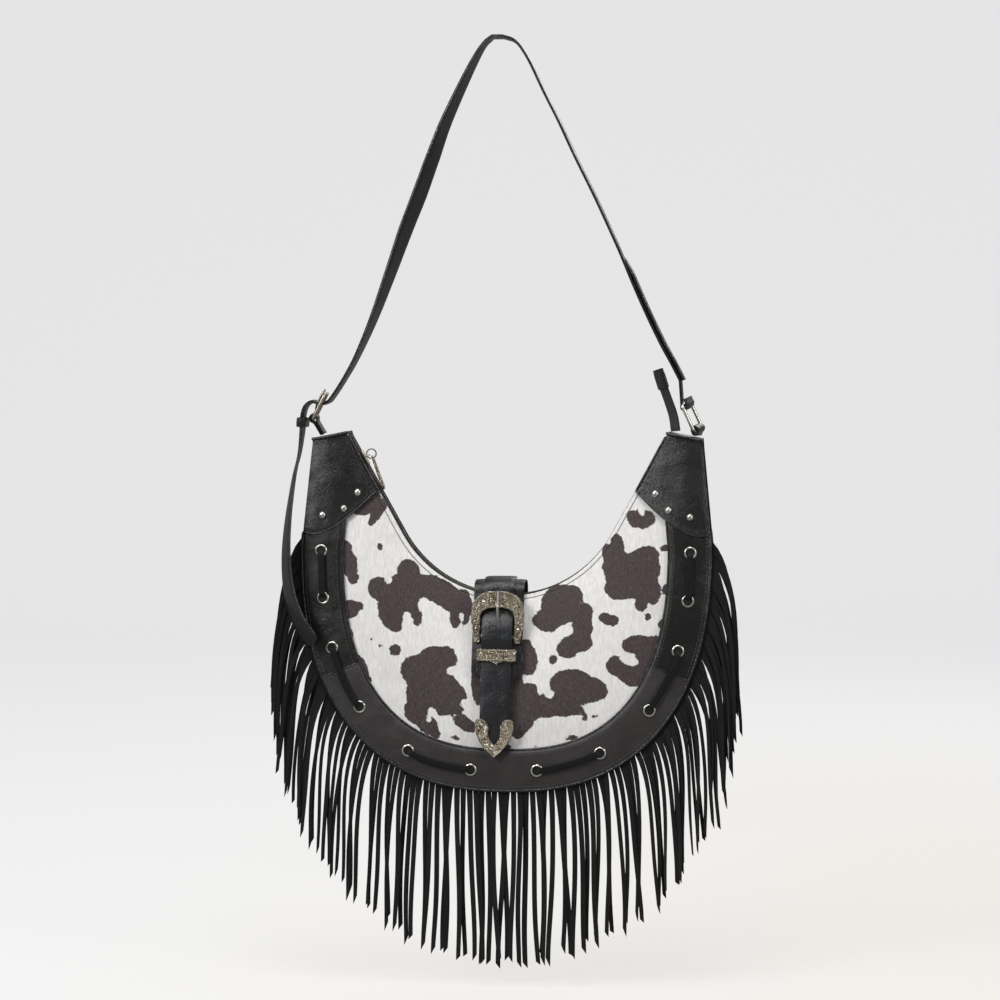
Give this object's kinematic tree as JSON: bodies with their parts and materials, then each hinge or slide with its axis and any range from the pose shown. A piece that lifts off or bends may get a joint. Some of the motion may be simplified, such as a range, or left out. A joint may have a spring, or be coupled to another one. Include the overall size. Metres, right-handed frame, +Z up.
{
  "type": "fringed crescent shoulder bag",
  "caption": "Crescent shoulder bag with horn caps, cow print front, laced band, long strand fringe, western buckle closure, zip and adjustable strap.",
  "frame": {"origin": "under the flat top of the strap, where the bag hangs", "axes": "+Z up, the bag's front faces -Y, +X to the right seen from the front"},
  "size_m": [0.353, 0.0706, 0.6989],
  "materials": {
    "cow_print": "short-haired printed cloth",
    "black_leather": "smooth",
    "charcoal_leather": "smooth",
    "suede": "suede",
    "zip_tape": "woven",
    "antique_silver": "antique, engraved",
    "pale_metal": "polished"
  },
  "bodies": {
    "strap": {"shoulder_strap": "black_leather"},
    "bag": {"front_panel": "cow_print", "back_panel": "black_leather", "gusset": "black_leather", "horn_cap_left": "black_leather", "horn_cap_right": "black_leather", "band_left": "black_leather", "band_right": "black_leather", "strap_end_left": "black_leather", "strap_end_right": "black_leather", "strap_keeper": "black_leather", "tab_left": "black_leather", "tab_right": "black_leather", "flap_anchor": "black_leather", "zip_end_tab": "black_leather", "band_centre": "charcoal_leather", "fringe": "suede", "lace": "suede", "zip_tape_front": "zip_tape", "zip_tape_back": "zip_tape", "strap_ring": "antique_silver", "strap_buckle_frame": "antique_silver", "strap_buckle_prong": "antique_silver", "zip_teeth_front": "antique_silver", "zip_teeth_back": "antique_silver", "eyelet_left_1": "antique_silver", "eyelet_left_2": "antique_silver", "eyelet_left_3": "antique_silver", "eyelet_left_4": "antique_silver", "eyelet_left_5": "antique_silver", "eyelet_left_6": "antique_silver", "eyelet_right_1": "antique_silver", "eyelet_right_2": "antique_silver", "eyelet_right_3": "antique_silver", "eyelet_right_4": "antique_silver", "eyelet_right_5": "antique_silver", "eyelet_right_6": "antique_silver", "snap_stud": "pale_metal", "rivet_left_1": "pale_metal", "rivet_left_2": "pale_metal", "rivet_left_3": "pale_metal", "rivet_right_1": "pale_metal", "rivet_right_2": "pale_metal", "rivet_right_3": "pale_metal"},
    "slider": {"zip_slider": "antique_silver"},
    "pull_ring": {"zip_pull_ring": "antique_silver"},
    "pull_tab": {"zip_pull_tab": "antique_silver"},
    "closure": {"closure_flap": "black_leather", "belt": "black_leather", "belt_buckle_frame": "antique_silver", "belt_buckle_prong": "antique_silver", "belt_keeper": "antique_silver", "belt_tip": "antique_silver", "snap_socket": "pale_metal"}
  },
  "joints": [
    {"name": "strap_swing", "type": "hinge", "parent": "strap", "child": "bag", "pos_m": [0, 0, -0.2535], "axis": [1, 0, 0], "range_deg": [-75, 75]},
    {"name": "zip_slide", "type": "slide", "parent": "bag", "child": "slider", "axis": [0.4848, 0, -0.8746], "range_m": [0, 0.04]},
    {"name": "zip_pull_ring_hinge", "type": "hinge", "parent": "slider", "child": "pull_ring", "pos_m": [-0.09752, 0, -0.31004], "axis": [0, 1, 0], "range_deg": [-36, 0]},
    {"name": "zip_pull_tab_hinge", "type": "hinge", "parent": "pull_ring", "child": "pull_tab", "pos_m": [-0.09586, 0, -0.30912], "axis": [0, 1, 0], "range_deg": [-120, 0]},
    {"name": "closure_lift", "type": "hinge", "parent": "bag", "child": "closure", "pos_m": [0.0025, 0.0156, -0.4156], "axis": [-1, 0, 0], "range_deg": [0, 110]}
  ]
}
